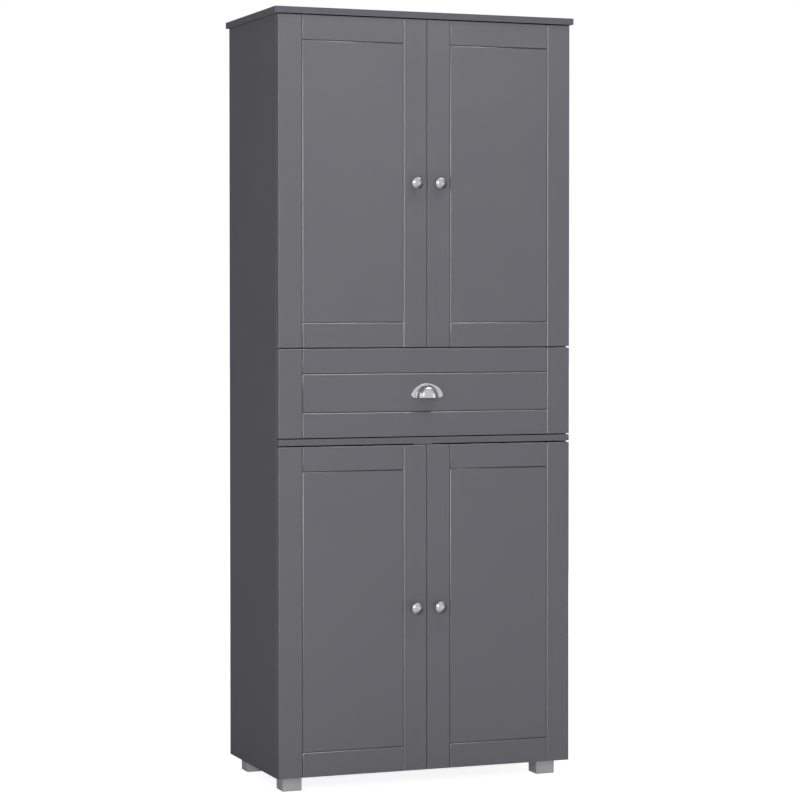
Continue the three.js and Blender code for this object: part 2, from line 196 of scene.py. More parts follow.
def grey_paint():
    """Sprayed satin paint: faint clouds, a fine orange peel, edges a touch lighter as wear and
    painted highlight, groove walls darker as painted shade.
    """
    finish = Finish("grey_paint", Specular_IOR_Level=0.42)
    clouds = finish.noise(finish.place(), 7.0, 3.0)
    specks = finish.noise(finish.place(), 420.0, 2.0)
    peel = finish.noise(finish.place(), 900.0, 2.0, 0.45)
    waves = finish.noise(finish.place(scale=(1, 1, 0.35)), 38.0, 2.0)
    faces = finish.blend(clouds * 0.75 + specks * 0.25, PAINT_DARK, PAINT)
    # edges lighter with specks: partly wear, partly a painted highlight
    edge_wear_and_highlight = share_of(finish, "edge") * (0.45 + 0.4 * specks)
    # groove walls darker: painted shade in the grooves
    faces_with_groove_shade = finish.blend(share_of(finish, "groove"), faces, PAINTED_GROOVE_SHADE)
    finish.tint(edge_wear_and_highlight, faces_with_groove_shade, PAINT_EDGE_WEAR_AND_HIGHLIGHT)
    finish.set("Roughness", 0.36 + clouds * 0.10 + specks * 0.06 - edge_wear_and_highlight * 0.05)
    return finish.bump(peel * 0.55 + waves * 0.45, 0.00006, 0.35)


def inner_paint():
    """The foil-faced inside boards: flatter than the fronts, with a very fine print."""
    finish = Finish("inner_paint", Specular_IOR_Level=0.35)
    clouds = finish.noise(finish.place(), 5.0, 3.0)
    grain = finish.noise(finish.place(), 650.0, 3.0, 0.6)
    faces = finish.blend(clouds * 0.6 + grain * 0.4, PAINT_DARK, PAINT)
    # inside board edges lighter: partly wear, partly a painted highlight
    finish.tint(share_of(finish, "edge") * 0.5, faces, PAINT_EDGE_WEAR_AND_HIGHLIGHT)
    finish.set("Roughness", 0.46 + grain * 0.12)
    return finish.bump(grain, 0.00004, 0.4)


def hardboard():
    """Thin printed hardboard: pressed fibres under a matt grey print."""
    finish = Finish("hardboard", Specular_IOR_Level=0.25)
    fibres = finish.noise(finish.place(scale=(1, 1, 0.22)), 520.0, 4.0, 0.62)
    blotches = finish.noise(finish.place(), 16.0, 4.0)
    finish.tint(fibres * 0.6 + blotches * 0.4, (0.150, 0.144, 0.155), (0.212, 0.204, 0.214))
    finish.set("Roughness", 0.62 + fibres * 0.2)
    return finish.bump(fibres, 0.00009, 0.5)


def turned_nickel(name, centre):
    """Brushed nickel, turned on a lathe: fine rings round an axis along y."""
    finish = Finish(name, metallic=1.0)
    offset = finish.place(centre, (1, 0, 1))
    radius = finish.number("ShaderNodeVectorMath", {"operation": "LENGTH"}, {0: offset}, "Value")
    around = finish.node("ShaderNodeCombineXYZ", links={"X": radius * 90.0, "Y": 0.3})
    rings = finish.noise(around, 40.0, 3.0, 0.7)
    cloud = finish.noise(finish.place(), 260.0, 2.0)
    finish.tint(rings * 0.5 + cloud * 0.5, (0.42, 0.417, 0.415), (0.58, 0.575, 0.57))
    finish.set("Roughness", 0.18 + rings * 0.14)
    return finish.bump(rings, 0.00003, 0.35)


def drawn_nickel():
    """Brushed nickel with its fine lines along x."""
    finish = Finish("drawn_nickel", metallic=1.0)
    lines = finish.noise(finish.place(scale=(0.05, 1, 1)), 2600.0, 3.0, 0.7)
    cloud = finish.noise(finish.place(), 180.0, 2.0)
    finish.tint(lines * 0.5 + cloud * 0.5, (0.46, 0.457, 0.455), (0.60, 0.595, 0.59))
    finish.set("Roughness", 0.15 + lines * 0.12)
    return finish.bump(lines, 0.00003, 0.35)


def pressed_steel():
    """Nickel-plated pressed steel of the hinges and the bracket."""
    finish = Finish("pressed_steel", metallic=1.0)
    stains = finish.noise(finish.place(), 70.0, 4.0)
    scratches = finish.noise(finish.place(scale=(1, 0.12, 1)), 900.0, 3.0)
    finish.tint(stains, (0.50, 0.50, 0.50), (0.70, 0.70, 0.69))
    finish.set("Roughness", 0.20 + stains * 0.10 + scratches * 0.08)
    return finish.bump(scratches, 0.00003, 0.3)


def zinc_steel():
    """Zinc-plated rolled steel of the runners, drawn along y."""
    finish = Finish("zinc_steel", metallic=1.0)
    rolled = finish.noise(finish.place(scale=(1, 0.03, 1)), 1500.0, 3.0, 0.6)
    spangle = finish.noise(finish.place(), 120.0, 3.0)
    finish.tint(spangle, (0.42, 0.43, 0.45), (0.62, 0.63, 0.65))
    finish.set("Roughness", 0.28 + rolled * 0.16)
    return finish.bump(rolled, 0.00003, 0.4)


def silver_foot():
    """Satin silver-grey moulded feet with a fine spark-eroded grain."""
    finish = Finish("silver_foot", Specular_IOR_Level=0.5)
    grain = finish.noise(finish.place(), 1400.0, 2.0, 0.6)
    cloud = finish.noise(finish.place(), 30.0, 3.0)
    finish.tint(cloud * 0.7 + grain * 0.3, (0.46, 0.46, 0.478), (0.54, 0.54, 0.56))
    finish.set("Roughness", 0.34 + grain * 0.14)
    return finish.bump(grain, 0.00005, 0.4)


def moulded_plastic(name, low, high):
    """Moulded plastic with a fine grain, between two colours."""
    finish = Finish(name, Specular_IOR_Level=0.45)
    grain = finish.noise(finish.place(), 1100.0, 2.0, 0.6)
    cloud = finish.noise(finish.place(), 90.0, 2.0)
    finish.tint(cloud * 0.6 + grain * 0.4, low, high)
    finish.set("Roughness", 0.36 + grain * 0.16)
    return finish.bump(grain, 0.00005, 0.4)


def magnet_black():
    """The dark ends of the magnets in the door catches."""
    finish = Finish("magnet_black", metallic=0.6)
    grain = finish.noise(finish.place(), 900.0, 2.0)
    finish.tint(grain, (0.03, 0.03, 0.032), (0.08, 0.08, 0.085))
    finish.set("Roughness", 0.4 + grain * 0.2)
    return finish.bump(grain, 0.00004, 0.4)


def clear_bumper():
    """Cloudy soft plastic of the door bumpers."""
    finish = Finish("clear_bumper", Specular_IOR_Level=0.5, Transmission_Weight=0.35)
    cloud = finish.noise(finish.place(), 300.0, 2.0)
    finish.tint(cloud, (0.62, 0.62, 0.62), (0.78, 0.78, 0.78))
    finish.set("Roughness", 0.22 + cloud * 0.12)
    return finish.material


GREY_PAINT = grey_paint()
INNER_PAINT = inner_paint()
HARDBOARD = hardboard()
DRAWN_NICKEL = drawn_nickel()
PRESSED_STEEL = pressed_steel()
ZINC_STEEL = zinc_steel()
SILVER_FOOT = silver_foot()
CATCH_PLASTIC = moulded_plastic("catch_plastic", (0.60, 0.60, 0.58), (0.74, 0.74, 0.72))
PIN_PLASTIC = moulded_plastic("pin_plastic", (0.44, 0.44, 0.45), (0.56, 0.56, 0.57))
MAGNET_BLACK = magnet_black()
CLEAR_BUMPER = clear_bumper()


# ---- mesh kit --------------------------------------------------------

MERGE = 1e-6  # points this close are one
CAD_MERGE = 2e-6
FLAT = math.radians(1)  # faces that turn less than this are one flat face
CORNER = math.radians(25)  # edges that turn more than this are rounded over


def put(name, mesh, material=None):
    """A new object that holds a mesh."""
    made = bpy.data.objects.new(name, mesh)
    bpy.context.scene.collection.objects.link(made)
    if material is not None:
        mesh.materials.append(material)
    return made


def from_bmesh(name, bm, material=None):
    """An object made from a bmesh, its doubles merged and its faces turned outwards."""
    bmesh.ops.remove_doubles(bm, verts=bm.verts, dist=MERGE)
    bmesh.ops.recalc_face_normals(bm, faces=bm.faces)
    mesh = bpy.data.meshes.new(name)
    bm.to_mesh(mesh)
    bm.free()
    mesh.polygons.foreach_set("use_smooth", [True] * len(mesh.polygons))
    return put(name, mesh, material)


def settle(piece):
    """Turns a piece with modifiers into a plain mesh."""
    graph = bpy.context.evaluated_depsgraph_get()
    evaluated = piece.evaluated_get(graph)
    keep = {"preserve_all_data_layers": True, "depsgraph": graph}
    mesh = bpy.data.meshes.new_from_object(evaluated, **keep)
    piece.modifiers.clear()
    piece.data = mesh
    return piece


def bevel(piece, width, segments=2, by_weight=False, angle=30):
    """Rounds a piece's edges over and settles it."""
    modifier = piece.modifiers.new("rounded", "BEVEL")
    modifier.width = width
    modifier.segments = segments
    modifier.limit_method = "WEIGHT" if by_weight else "ANGLE"
    modifier.angle_limit = math.radians(angle)
    modifier.miter_outer = "MITER_ARC"
    shading = piece.modifiers.new("flat_faces", "WEIGHTED_NORMAL")
    shading.weight = 100
    shading.keep_sharp = True
    return settle(piece)


def mark_edges(mesh):
    """Writes "edge", 1 on the slivers that a bevel leaves, lightened in the paints as wear and
    painted highlight, and "groove", 1 on groove walls, darkened in the grey paint as painted
    shade.
    """
    narrow = 0.9 * MM
    marks = {"edge": [], "groove": []}
    for face in mesh.polygons:
        corners = [mesh.vertices[i].co for i in face.vertices]
        around = sum((a - b).length for a, b in zip(corners, corners[1:] + corners[:1]))
        slants = max(abs(c) for c in face.normal) < 0.995
        is_narrow = face.area <= narrow * around / 2
        marks["edge"] += [float(slants and is_narrow)] * len(corners)
        marks["groove"] += [float(slants and not is_narrow)] * len(corners)
    for label, values in marks.items():
        attribute = mesh.attributes.new(label, "FLOAT", "CORNER")
        attribute.data.foreach_set("value", values)


def hand_over(piece, body, slot, *replaced):
    """Lets a finished piece ride on its body and stand for CAD nodes; its slot is not used."""
    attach(piece, body)
    if replaced:
        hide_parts(*replaced)
    return piece


def stand_in(piece, node):
    """Hands over a piece that takes one node's place and body."""
    return hand_over(piece, BODY_OF[node], SLOT_OF[node], node)


def box_into(bm, low, high):
    """Adds a box between two corners to a bmesh."""
    low, high = Vector(low), Vector(high)
    made = bmesh.ops.create_cube(bm, size=1.0)["verts"]
    size, middle = high - low, (high + low) / 2
    for vert in made:
        vert.co = Vector(c * s for c, s in zip(vert.co, size)) + middle
    return made


# ---- boards ----------------------------------------------------------

BOARD_EDGE = 0.8 * MM
PANEL_EDGE = 0.7 * MM
INNER_EDGE = 0.6 * MM
DRAWER_SIDE_EDGE = 0.5 * MM
HARDBOARD_EDGE = 0.25 * MM
GROOVE_EDGE_SHARE = 0.4
NEAR = 0.1 * MM
NAIL_HEAD = 0.6 * MM


def clean_copy(node):
    """A bmesh of a CAD piece, its doubles merged and its flat faces whole."""
    bm = bmesh.new()
    bm.from_mesh(NODES[node].data)
    bmesh.ops.remove_doubles(bm, verts=bm.verts, dist=CAD_MERGE)
    bmesh.ops.dissolve_limit(bm, angle_limit=FLAT, verts=bm.verts, edges=bm.edges)
    return bm


def rounded_copy(node, material, width=BOARD_EDGE, edge_weight=None, segments=3):
    """A copy of a CAD board with its edges rounded over."""
    bm = clean_copy(node)
    weights = bm.edges.layers.float.new("bevel_weight_edge")
    for edge in bm.edges:
        if edge.calc_face_angle(0) > CORNER:
            edge[weights] = edge_weight(edge) if edge_weight else 1.0
            edge.smooth = edge[weights] > 0
    piece = from_bmesh(f"{node}_board", bm, material)
    bevel(piece, width, segments, by_weight=True)
    mark_edges(piece.data)
    return stand_in(piece, node)


def front_edge_weight(node):
    """Outer edges of a front are rounded most, groove edges less, and bores not at all."""
    low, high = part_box(node)

    def weight(edge):
        middle = (edge.verts[0].co + edge.verts[1].co) / 2
        for corner in (low, high):
            if abs(middle.x - corner.x) < NEAR or abs(middle.z - corner.z) < NEAR:
                return 1.0
        return GROOVE_EDGE_SHARE if abs(middle.y - low.y) < NEAR else 0.0

    return weight


def panel_edge_weight(edge):
    """The long edges of a side panel are rounded; its pin holes are left sharp."""
    longest_in_a_hole = 5 * MM
    return 1.0 if edge.calc_length() > longest_in_a_hole else 0.0


for node in ("top_board", "divider_shelf"):
    rounded_copy(node, GREY_PAINT)
for node in ("bottom_board", "drawer_deck", "upper_shelf", "lower_shelf", "drawer_back"):
    rounded_copy(node, INNER_PAINT, INNER_EDGE)
for side in SIDES:
    rounded_copy(f"side_panel_{side}", GREY_PAINT, PANEL_EDGE, panel_edge_weight)
    rounded_copy(f"drawer_side_{side}", INNER_PAINT, DRAWER_SIDE_EDGE)
rounded_copy("drawer_bottom", HARDBOARD, HARDBOARD_EDGE, segments=2)
for node in ("upper_back_panel", "lower_back_panel"):
    panel = rounded_copy(node, HARDBOARD, HARDBOARD_EDGE, segments=2)
    for vert in panel.data.vertices:
        if vert.co.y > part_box(node)[1].y - NAIL_HEAD:
            vert.co.y -= NAIL_HEAD
FRONT_NODES = [f"door_{level}_{side}" for level in LEVELS for side in SIDES] + ["drawer_front"]
FRONTS = [
    rounded_copy(node, GREY_PAINT, BOARD_EDGE, front_edge_weight(node)) for node in FRONT_NODES
]


# ---- turned and moulded handles --------------------------------------


def turned(name, profile, centre, outward, material, facets=64):
    """A closed solid turned from (radius, height) points; its first and last lie on the axis."""
    bm = bmesh.new()
    turn = Vector((0, 0, 1)).rotation_difference(Vector(outward)).to_matrix().to_4x4()
    place = Matrix.Translation(centre) @ turn
    rings = []
    for radius, height in profile:
        if radius < MERGE:
            rings.append([bm.verts.new(place @ Vector((0, 0, height)))])
            continue
        angles = (2 * math.pi * step / facets for step in range(facets))
        ring = [(radius * math.cos(a), radius * math.sin(a), height) for a in angles]
        rings.append([bm.verts.new(place @ Vector(point)) for point in ring])
    for lower, upper in zip(rings, rings[1:]):
        for step in range(facets):
            following = (step + 1) % facets
            corners = [
                lower[step % len(lower)],
                lower[following % len(lower)],
                upper[following % len(upper)],
                upper[step % len(upper)],
            ]
            bm.faces.new(dict.fromkeys(corners))
    return from_bmesh(name, bm, material)


def arc(centre, radius, start, end, steps=6):
    """Points on a round stretch of a profile, angles in degrees."""
    angles = (math.radians(start + (end - start) * s / steps) for s in range(steps + 1))
    return [(centre[0] + radius * math.cos(a), centre[1] + radius * math.sin(a)) for a in angles]


def curve_through(points, steps=6):
    """A smooth run through given points (Catmull-Rom)."""
    padded = [points[0], *points, points[-1]]
    run = []
    for before, start, end, after in zip(padded, padded[1:], padded[2:], padded[3:]):
        for step in range(steps):
            t = step / steps
            point = []
            for a, b, c, d in zip(before, start, end, after):
                square = (2 * a - 5 * b + 4 * c - d) * t**2
                cube = (3 * b - a - 3 * c + d) * t**3
                point.append(0.5 * (2 * b + (c - a) * t + square + cube))
            run.append(tuple(point))
    return [*run, points[-1]]


def from_mm(points):
    """Points given in millimetres, in metres."""
    return [(first * MM, second * MM) for first, second in points]


def make_knob(node):
    """A mushroom knob: a small foot, a waisted neck and a domed head with a stepped rim."""
    low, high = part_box(node)
    reach = (high.y - low.y) / MM
    head = (high.x - low.x) / 2 / MM
    centre = Vector(((low.x + high.x) / 2, high.y, (low.z + high.z) / 2))
    foot = [(0, 0), (7.6, 0), *arc((7.4, 1.1), 0.6, -40, 60, 4)]
    neck = curve_through([(7.4, 2.2), (5.9, 3.6), (5.3, 7.0), (6.4, 10.5)])
    under = curve_through([(7.4, 11.8), (10.0, 13.0), (head - 1.5, 14.0)])
    rim = arc((head - 2.2, 16.4), 2.2, -68, 58, 8)
    step = [(head - 1.9, 18.9), (head - 3.4, 20.3)]
    face = curve_through([*step, (head - 6.5, 22.6), (3.6, reach - 0.5), (0.0, reach)])
    profile = from_mm([*foot, *neck, *under, *rim, *face])
    material = turned_nickel(f"turned_nickel_{node}", centre)
    return stand_in(turned(f"{node}_turned", profile, centre, OUT, material), node)


HANDLES = [make_knob(f"knob_{level}_{side}") for level in LEVELS for side in SIDES]

PULL_STEPS = 48
PULL_CORNER = 8 * MM
PULL_WALL = 1.8 * MM
PULL_DOME = (24.5 * MM, 27.2 * MM)  # half width and height
PULL_FULLNESS = 0.74  # 1 is a round dome, less is fuller at its sides
PULL_TURNS = [math.radians(8 + 82 * step / 16) for step in range(17)]  # from the rim to the top
PULL_BEAD = (  # in mm: width and height beyond the dome, and reach
    (6.2, 3.7, 2.0),
    (5.4, 3.1, 1.5),
    (4.9, 2.8, 1.9),
    (3.9, 2.3, 4.0),
    (3.1, 1.8, 4.7),
    (2.2, 1.4, 4.5),
    (0.9, 0.7, 2.5),
    (0.4, 0.4, 2.0),
)


def pull_row(bm, half_width, height, reach, centre, corner=0.0):
    """One half-moon row of points on the pull, from its right end over the top to its left."""
    row = []
    for step in range(PULL_STEPS + 1):
        angle = math.pi * (0.5 - 0.5 * math.cos(math.pi * step / PULL_STEPS))
        x = half_width * math.cos(angle)
        z = height * math.sin(angle)
        if z < corner:
            x -= math.copysign(corner - math.sqrt(corner**2 - (corner - z) ** 2), x)
        row.append(bm.verts.new(centre + Vector((x, -reach, z))))
    return row


def make_pull(node):
    """The half-moon cup pull: a flat rim, a raised bead and a hollow dome open below."""
    low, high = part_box(node)
    centre = Vector(((low.x + high.x) / 2, high.y, low.z))
    rim_x, rim_z = (high.x - low.x) / 2, high.z - low.z
    reach = high.y - low.y
    rim = [(rim_x, rim_z, 0), (rim_x, rim_z, 1.2 * MM)]
    rim.append((rim_x - 0.8 * MM, rim_z - 0.6 * MM, 2.0 * MM))
    dome_x, dome_z = PULL_DOME
    inner_x, inner_z = dome_x - PULL_WALL, dome_z - PULL_WALL
    rows = [(dome_x + x * MM, dome_z + z * MM, y * MM) for x, z, y in PULL_BEAD]
    across = (max(math.cos(turn), 0) ** PULL_FULLNESS for turn in PULL_TURNS)
    outward = (math.sin(turn) ** PULL_FULLNESS for turn in PULL_TURNS)
    dome = list(zip(across, outward))
    rows += [(dome_x * c, dome_z * c, reach * s) for c, s in dome]
    rows += [(inner_x * c, inner_z * c, (reach - PULL_WALL) * s) for c, s in dome[::-1]]
    rows.append((inner_x, inner_z, 0))
    bm = bmesh.new()
    rings = [pull_row(bm, *row, centre, PULL_CORNER) for row in rim]
    rings += [pull_row(bm, *row, centre) for row in rows]
    for lower, upper in zip(rings, rings[1:] + rings[:1]):
        for step in range(PULL_STEPS):
            bm.faces.new((lower[step], lower[step + 1], upper[step + 1], upper[step]))
    for column in (0, PULL_STEPS):
        bm.faces.new([ring[column] for ring in rings])
    bmesh.ops.remove_doubles(bm, verts=bm.verts, dist=MERGE)
    bmesh.ops.dissolve_degenerate(bm, edges=bm.edges, dist=MERGE)
    piece = from_bmesh(f"{node}_cast", bm, DRAWN_NICKEL)
    bevel(piece, 0.5 * MM, angle=50)
    return stand_in(piece, node)


HANDLES.append(make_pull("cup_pull"))


# ---- feet ------------------------------------------------------------

FOOT_DRAW = 0.985  # its size at the floor, as a share of its size at the top


def make_foot(node):
    """A square block foot, drawn in a little at the floor."""
    low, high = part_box(node)
    bm = bmesh.new()
    corners = box_into(bm, low, high)
    middle = (low + high) / 2
    for vert in corners:
        if vert.co.z < middle.z:
            vert.co.x = middle.x + (vert.co.x - middle.x) * FOOT_DRAW
            vert.co.y = middle.y + (vert.co.y - middle.y) * FOOT_DRAW
    piece = from_bmesh(f"{node}_block", bm, SILVER_FOOT)
    bevel(piece, 1.6 * MM, 3)
    return stand_in(piece, node)


for end in ("front", "back"):
    for side in SIDES:
        make_foot(f"foot_{end}_{side}")


# ---- small parts kit -------------------------------------------------


def prism(bm, points, start, end, axis="y"):
    """Adds an outline drawn from start to end along an axis; points are on the other two axes."""
    order = {"x": (2, 0, 1), "y": (0, 2, 1), "z": (0, 1, 2)}[axis]
    ends = []
    for level in (start, end):
        corners = ((*point, level) for point in points)
        ends.append([bm.verts.new([corner[i] for i in order]) for corner in corners])
    bm.faces.new(ends[0])
    bm.faces.new(ends[1][::-1])
    for index in range(len(points)):
        previous = index - 1
        bm.faces.new((ends[0][previous], ends[0][index], ends[1][index], ends[1][previous]))


def slab_outline(low, high, radius, steps=4):
    """A rectangle with round corners."""
    (x0, y0), (x1, y1) = low, high
    corners = (
        ((x1 - radius, y1 - radius), 0),
        ((x0 + radius, y1 - radius), 90),
        ((x0 + radius, y0 + radius), 180),
        ((x1 - radius, y0 + radius), 270),
    )
    return [p for centre, turn in corners for p in arc(centre, radius, turn, turn + 90, steps)]


def softened(node, material, width):
    """A copy of a CAD piece with its sharp edges rounded a little."""
    piece = bevel(from_bmesh(f"{node}_finished", clean_copy(node), material), width)
    return stand_in(piece, node)


def joined(name, *parts):
    """One object from several; the others are removed."""
    bm = bmesh.new()
    materials = []
    for part in parts:
        start = len(bm.faces)
        bm.from_mesh(part.data)
        bm.faces.ensure_lookup_table()
        if part.data.materials[0] not in materials:
            materials.append(part.data.materials[0])
        for face in bm.faces[start:]:
            face.material_index = materials.index(part.data.materials[0])
        bpy.data.objects.remove(part)
    mesh = bpy.data.meshes.new(name)
    bm.to_mesh(mesh)
    bm.free()
    for material in materials:
        mesh.materials.append(material)
    return put(name, mesh)


# ---- heads of screws, nails and cam caps -----------------------------


def start_tree(name, inputs, output):
    """A geometry tree with its named inputs and its output."""
    tree = bpy.data.node_groups.new(name, "GeometryNodeTree")
    for label, kind in inputs.items():
        tree.interface.new_socket(label, in_out="INPUT", socket_type=f"NodeSocket{kind}")
    tree.interface.new_socket(output, in_out="OUTPUT", socket_type="NodeSocketGeometry")
    return tree


def cross_cutter(tree, radius, height):
    """Two crossed bars in the top of a screw head, for its recess."""
    cutter = add_node(tree, "GeometryNodeJoinGeometry")
    for long_way in (0, 1):
        spans = [radius * 0.26, radius * 0.26]
        spans[long_way] = radius * 1.15
        size = add_node(tree, "ShaderNodeCombineXYZ", None, {0: spans[0], 1: spans[1], 2: height})
        bar = add_node(tree, "GeometryNodeMeshCube", None, {"Size": size.outputs[0]})
        lift = add_node(tree, "ShaderNodeCombineXYZ", None, {2: height * 0.75})
        links = {"Geometry": bar.outputs["Mesh"], "Translation": lift.outputs[0]}
        moved = add_node(tree, "GeometryNodeTransform", None, links)
        feed(tree, moved.outputs[0], cutter.inputs[0])
    return cutter.outputs[0]


def head_tree(name, cross, material, sides=20):
    """A node tree that sets a head on each point, turned to the point's own "facing"."""
    inputs = {"Points": "Geometry", "Radius": "Float", "Top Radius": "Float", "Height": "Float"}
    tree = start_tree(name, inputs, "Heads")
    given = add_node(tree, "NodeGroupInput").outputs
    radius, height = Signal(tree, given["Radius"]), Signal(tree, given["Height"])
    sizes = {"Vertices": sides, "Radius Top": given["Top Radius"]}
    sizes |= {"Radius Bottom": radius, "Depth": height}
    head = add_node(tree, "GeometryNodeMeshCone", {"fill_type": "NGON"}, sizes).outputs["Mesh"]
    if cross:
        settings = {"operation": "DIFFERENCE", "solver": "EXACT"}
        links = {"Mesh 1": head, "Mesh 2": cross_cutter(tree, radius, height)}
        links["Self Intersection"] = True
        head = add_node(tree, "GeometryNodeMeshBoolean", settings, links).outputs["Mesh"]
    settings, links = {"data_type": "FLOAT_VECTOR"}, {"Name": "facing"}
    facing = add_node(tree, "GeometryNodeInputNamedAttribute", settings, links)
    links = {"Vector": facing.outputs["Attribute"]}
    aim = add_node(tree, "FunctionNodeAlignRotationToVector", {"axis": "Z"}, links)
    settings, links = {"data_type": "FLOAT"}, {"Max": math.pi, "Seed": 7}
    spin = add_node(tree, "FunctionNodeRandomValue", settings, links)
    turn = add_node(tree, "ShaderNodeCombineXYZ", None, {2: spin.outputs["Value"]})
    links = {"Rotation": aim.outputs[0], "Rotate By": turn.outputs[0]}
    rotation = add_node(tree, "FunctionNodeRotateRotation", {"rotation_space": "LOCAL"}, links)
    links = {"Points": given["Points"], "Instance": head, "Rotation": rotation.outputs[0]}
    heads = add_node(tree, "GeometryNodeInstanceOnPoints", None, links)
    finish_tree(tree, heads, material)
    return tree


def finish_tree(tree, instances, material):
    """Ends a tree: the instances made real, and their material set."""
    real = add_node(tree, "GeometryNodeRealizeInstances", None, {0: instances.outputs[0]})
    links = {"Geometry": real.outputs[0], "Material": material}
    coloured = add_node(tree, "GeometryNodeSetMaterial", None, links)
    add_node(tree, "NodeGroupOutput", None, {0: coloured.outputs[0]})


def run_tree(piece, tree, sizes):
    """Runs a node tree on a piece with its named inputs and leaves the plain mesh."""
    modifier = piece.modifiers.new(tree.name, "NODES")
    modifier.node_group = tree
    for socket in tree.interface.items_tree:
        if socket.in_out == "INPUT" and socket.name in sizes:
            modifier[socket.identifier] = sizes[socket.name]
    return settle(piece)


SCREW_TREE = head_tree("cross_head_screws", True, PRESSED_STEEL)
CAP_TREE = head_tree("cam_caps", False, INNER_PAINT, sides=32)
NAIL_TREE = head_tree("nail_heads", False, ZINC_STEEL, sides=12)
SCREW = {"Radius": 3.6 * MM, "Top Radius": 2.6 * MM, "Height": 1.5 * MM}
SMALL_SCREW = {"Radius": 2.9 * MM, "Top Radius": 2.1 * MM, "Height": 1.1 * MM}
CAP = {"Radius": 8 * MM, "Top Radius": 7.4 * MM, "Height": 0.9 * MM}
NAIL = {"Radius": 2.6 * MM, "Top Radius": 1.7 * MM, "Height": NAIL_HEAD}


def set_heads(name, body, slot, tree, sizes, spots):
    """Heads on spots, each a place and the way it faces, as one piece on a body."""
    mesh = bpy.data.meshes.new(name)
    mesh.from_pydata([place for place, facing in spots], [], [])
    facing = mesh.attributes.new("facing", "FLOAT_VECTOR", "POINT")
    facing.data.foreach_set("vector", [c for place, way in spots for c in way])
    piece = run_tree(put(name, mesh), tree, sizes)
    return hand_over(piece, body, slot)


# ---- hinges ----------------------------------------------------------

def against_side(node, side):
    """Where a piece meets its side panel, its front end, and its middle height."""
    low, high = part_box(node)
    wall = high.x if side > 0 else low.x
    return wall, low.y, (low.z + high.z) / 2


def make_hinge_arm(node, side):
    """A pressed hinge arm on its mounting plate, drawn from the wall inwards."""
    wall, tip, middle = against_side(node, side)

    def inward(distance):
        return wall - side * distance

    stations = (  # in mm: distance from the tip, half width, half width of its top
        (0.0, 4.2, 4.2),
        (3.0, 5.0, 5.0),
        (14.0, 5.2, 5.2),
        (26.0, 7.0, 6.4),
        (62.0, 7.0, 6.4),
        (68.0, 6.2, 5.8),
    )
    bm = bmesh.new()
    sheet = 1.3
    rings = []
    for along, half, top in stations:
        outer = [(4, -half), (10, -half), (11, 1 - top), (11, top - 1), (10, half), (4, half)]
        inner = [(4, half - sheet), (9.6, half - sheet), (9.6, sheet - half), (4, sheet - half)]
        section = from_mm([*outer, *inner])
        y = tip + along * MM
        rings.append([bm.verts.new((inward(u), y, middle + z)) for u, z in section])
    for near, far in zip(rings, rings[1:]):
        for index in range(len(near)):
            bm.faces.new((near[index - 1], near[index], far[index], far[index - 1]))
    bm.faces.new(rings[0])
    bm.faces.new(rings[-1][::-1])
    arm = bevel(from_bmesh("arm", bm, PRESSED_STEEL), 0.35 * MM)

    bm = bmesh.new()
    centre_y = tip + 48 * MM
    wings = slab_outline((-9, -22.5), (9, 22.5), 6)
    saddle = slab_outline((-17.5, -8.5), (17.5, 8.5), 3)
    for outline, height in ((wings, 1.7), (saddle, 4.4)):
        points = [(centre_y + y, middle + z) for y, z in from_mm(outline)]
        prism(bm, points, inward(0.0), inward(height * MM), "x")
    plate = bevel(from_bmesh("plate", bm, PRESSED_STEEL), 0.4 * MM)
    stand_in(joined(f"{node}_pressed", arm, plate), node)

    facing = (-side, 0, 0)
    on_arm = [(inward(11 * MM), tip + along * MM, middle) for along in (44, 58)]
    on_wings = [(inward(1.7 * MM), centre_y, middle + z * MM) for z in (-15.5, 15.5)]
    return [(place, facing) for place in (*on_arm, *on_wings)]


def make_hinge_cup(node, side):
    """The pressed cup in the back of a door, with its two screw ears and its pivot pins."""
    low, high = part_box(node)
    back = high.y - 1.5 * MM
    middle = (low.z + high.z) / 2
    flange = 19 * MM
    centre_x = low.x + flange if side < 0 else high.x - flange
    centre = Vector((centre_x, back, middle))
    profile = [(0, -11.2), (16.4, -11.2), (17.2, -10.4), (17.2, 0), (18.9, 0), (18.9, 0.8)]
    profile += [(18.5, 1.4), (18.0, 1.5), (16.6, 1.5), (15.9, 0.9), (15.7, 0.0), (15.5, -8.0)]
    profile += [(14.8, -9.3), (13.4, -9.8), (0, -9.8)]
    cup = turned("cup", from_mm(profile), centre, IN, PRESSED_STEEL)

    ears = bmesh.new()
    outward, inward, ring, corner, top = 4, -14, 18.2, 4.5, 28
    start = math.degrees(math.acos(outward / ring))
    stop = math.degrees(math.acos(inward / ring))
    outline = arc((0, 0), ring, start, stop, 10)
    outline += arc((inward + corner, top - corner), corner, 180, 90, 5)
    outline += arc((outward - corner, top - corner), corner, 90, 0, 5)
    for end in (-1, 1):
        points = [(centre_x + side * x, middle + end * z) for x, z in from_mm(outline)]
        prism(ears, points, back, back + 1.5 * MM, "y")
    ears = bevel(from_bmesh("ears", ears, PRESSED_STEEL), 0.35 * MM)

    pins = []
    rod = from_mm([(0, 0), (1.1, 0), (1.3, 0.2), (1.3, 17.8), (1.1, 18), (0, 18)])
    for x, y in ((11, -6.2), (-5, -7.4)):
        base = centre + Vector((side * x * MM, y * MM, -9 * MM))
        pins.append(turned("pin", rod, base, UP, ZINC_STEEL, 16))
    stand_in(joined(f"{node}_pressed", cup, ears, *pins), node)
    ear_z = (-23 * MM, 23 * MM)
    return [((centre_x - side * 5 * MM, back + 1.5 * MM, middle + z), IN) for z in ear_z]


